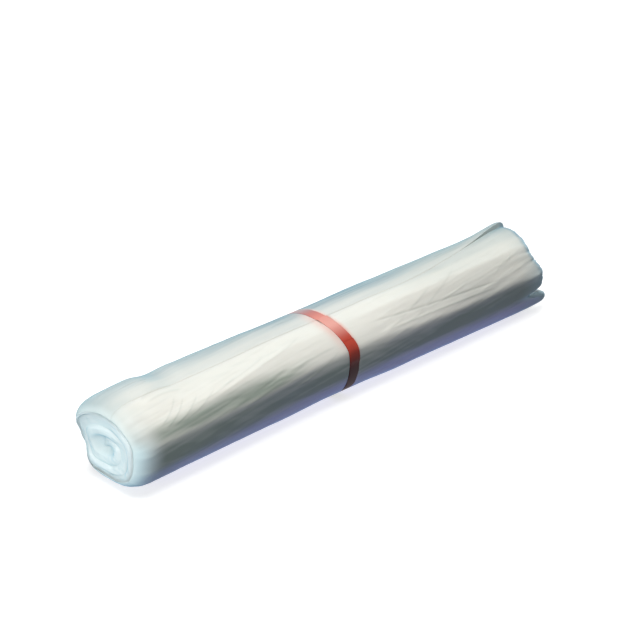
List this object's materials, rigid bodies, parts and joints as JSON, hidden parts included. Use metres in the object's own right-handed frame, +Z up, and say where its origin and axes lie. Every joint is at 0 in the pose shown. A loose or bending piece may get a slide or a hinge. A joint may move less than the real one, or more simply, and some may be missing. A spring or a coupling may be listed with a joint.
{
  "type": "bin bag roll",
  "caption": "Soft coreless roll of thin translucent bin liners lying on its side, held wound by a narrow red tape band round its middle.",
  "frame": {"origin": "on the plane the roll rests on, under the middle of its length and its width at the band", "axes": "+X along the roll from its near end to its far end, +Y across it, +Z up"},
  "size_m": [0.3066, 0.0542, 0.0466],
  "materials": {
    "film": "thin translucent satin film in many turns",
    "tape": "glossy red adhesive tape"
  },
  "bodies": {
    "root": {"bag_roll": "film", "tape_band": "tape"}
  },
  "joints": []
}
